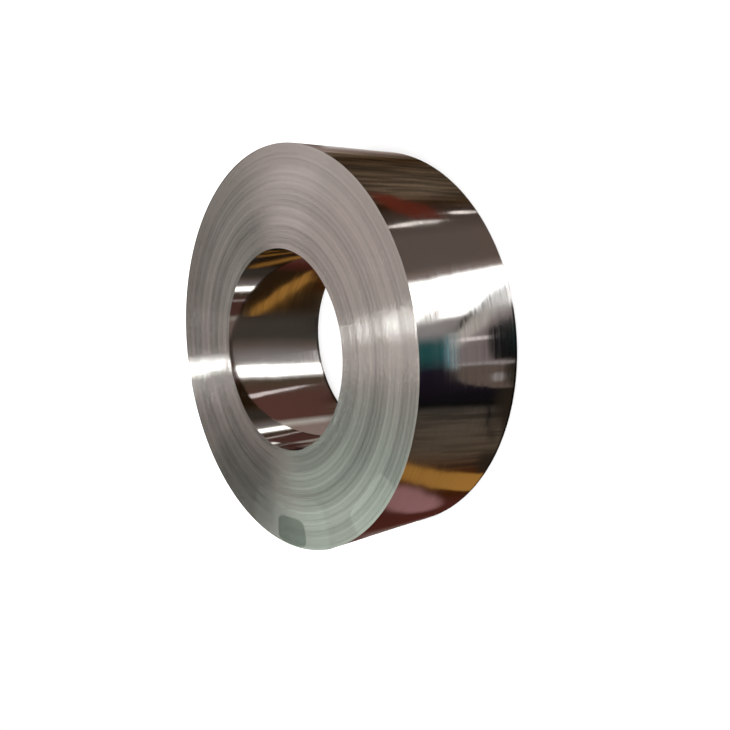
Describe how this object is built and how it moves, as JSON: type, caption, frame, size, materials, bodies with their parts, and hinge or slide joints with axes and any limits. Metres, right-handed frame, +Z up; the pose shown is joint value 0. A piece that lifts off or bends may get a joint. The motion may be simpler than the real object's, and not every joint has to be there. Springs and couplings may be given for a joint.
{
  "type": "steel coil",
  "caption": "Narrow slit strip of bright steel wound into a solid coil with an open round bore, standing on its end; stock for presses, roll formers and tube mills.",
  "frame": {"origin": "on the bore's axis, on the floor that the coil stands on", "axes": "+Z up along the bore's axis; +X and +Y level across the coil. The top end and the side towards -Y face the viewer in the usual view."},
  "size_m": [1.0159, 1.016, 0.3112],
  "materials": {
    "strip_steel": "bright annealed: near mirror on the strip's two faces, satin with fine turn lines on its slit edges"
  },
  "bodies": {
    "root": {"strip_coil": "strip_steel"}
  },
  "joints": []
}
